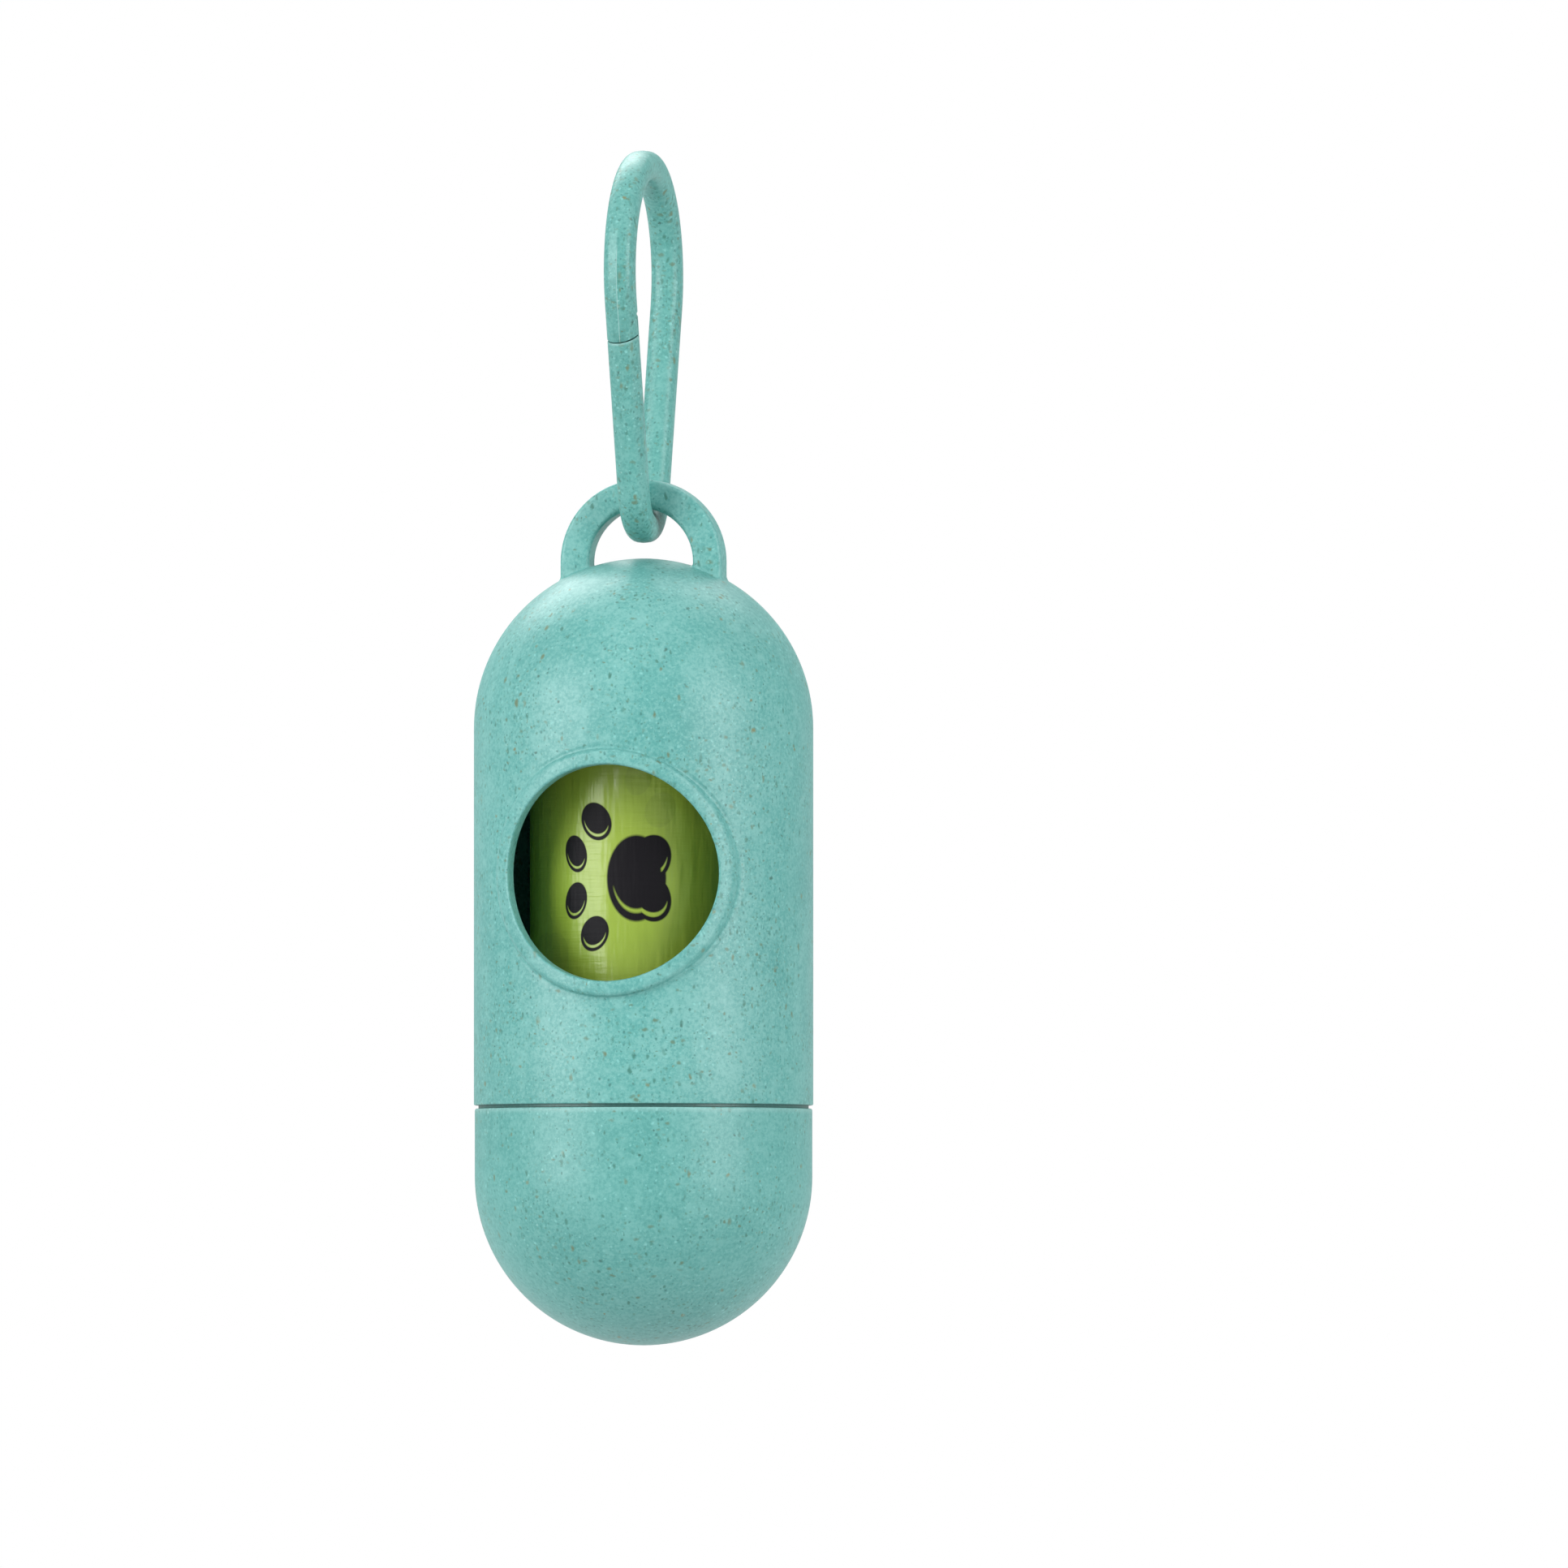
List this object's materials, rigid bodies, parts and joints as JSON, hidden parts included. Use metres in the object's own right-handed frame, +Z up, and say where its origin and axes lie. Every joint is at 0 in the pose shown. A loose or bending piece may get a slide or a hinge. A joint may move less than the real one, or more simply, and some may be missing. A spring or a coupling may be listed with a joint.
{
  "type": "dog poop bag dispenser",
  "caption": "Hanging capsule that holds a roll of waste bags, with a round window, a screw cap and a spring-gate clip for a leash.",
  "frame": {"origin": "inside top of the clip, where it hangs on the leash ring", "axes": "+Z up along the capsule, -Y out of the window, X across the clip's plane"},
  "size_m": [0.037, 0.0376, 0.1303],
  "materials": {
    "housing_plastic": "matt turquoise plastic mottled with plant fibre",
    "cap_plastic": "matt turquoise plastic mottled with plant fibre",
    "clip_plastic": "matt turquoise plastic mottled with plant fibre",
    "core_card": "grey-brown card",
    "bag_film": "glossy yellow-green film",
    "printed_film": "glossy yellow-green film with black paw prints"
  },
  "bodies": {
    "clip": {"clip_frame": "clip_plastic"},
    "gate": {"clip_gate": "clip_plastic"},
    "shell": {"body_shell": "housing_plastic"},
    "core": {"roll_core": "core_card"},
    "cap": {"end_cap": "cap_plastic"},
    "bags": {"wound_bags": "bag_film", "lead_bag": "printed_film"}
  },
  "joints": [
    {"name": "gate_flex", "type": "hinge", "parent": "clip", "child": "gate", "pos_m": [0, -0.00619, -0.02979], "axis": [-1, 0, 0], "range_deg": [0, 20], "stiffness_Nm_per_rad": 0.15},
    {"name": "shell_swing", "type": "hinge", "parent": "clip", "child": "shell", "pos_m": [0, 0, -0.0326], "axis": [1, 0, 0], "range_deg": [-85, 85]},
    {"name": "cap_travel", "type": "slide", "parent": "shell", "child": "core", "axis": [0, 0, -1], "range_m": [0, 0.009]},
    {"name": "cap_turn", "type": "hinge", "parent": "core", "child": "cap", "pos_m": [0, 0, -0.1085], "axis": [0, 0, -1], "range_deg": [0, 542]},
    {"name": "roll_spin", "type": "hinge", "parent": "core", "child": "bags", "pos_m": [0, 0, -0.0754], "axis": [0, 0, 1], "continuous": true}
  ],
  "couplings": [
    {"joint": "cap_turn", "follows": "cap_travel", "rad_per_m": 1047.2}
  ]
}
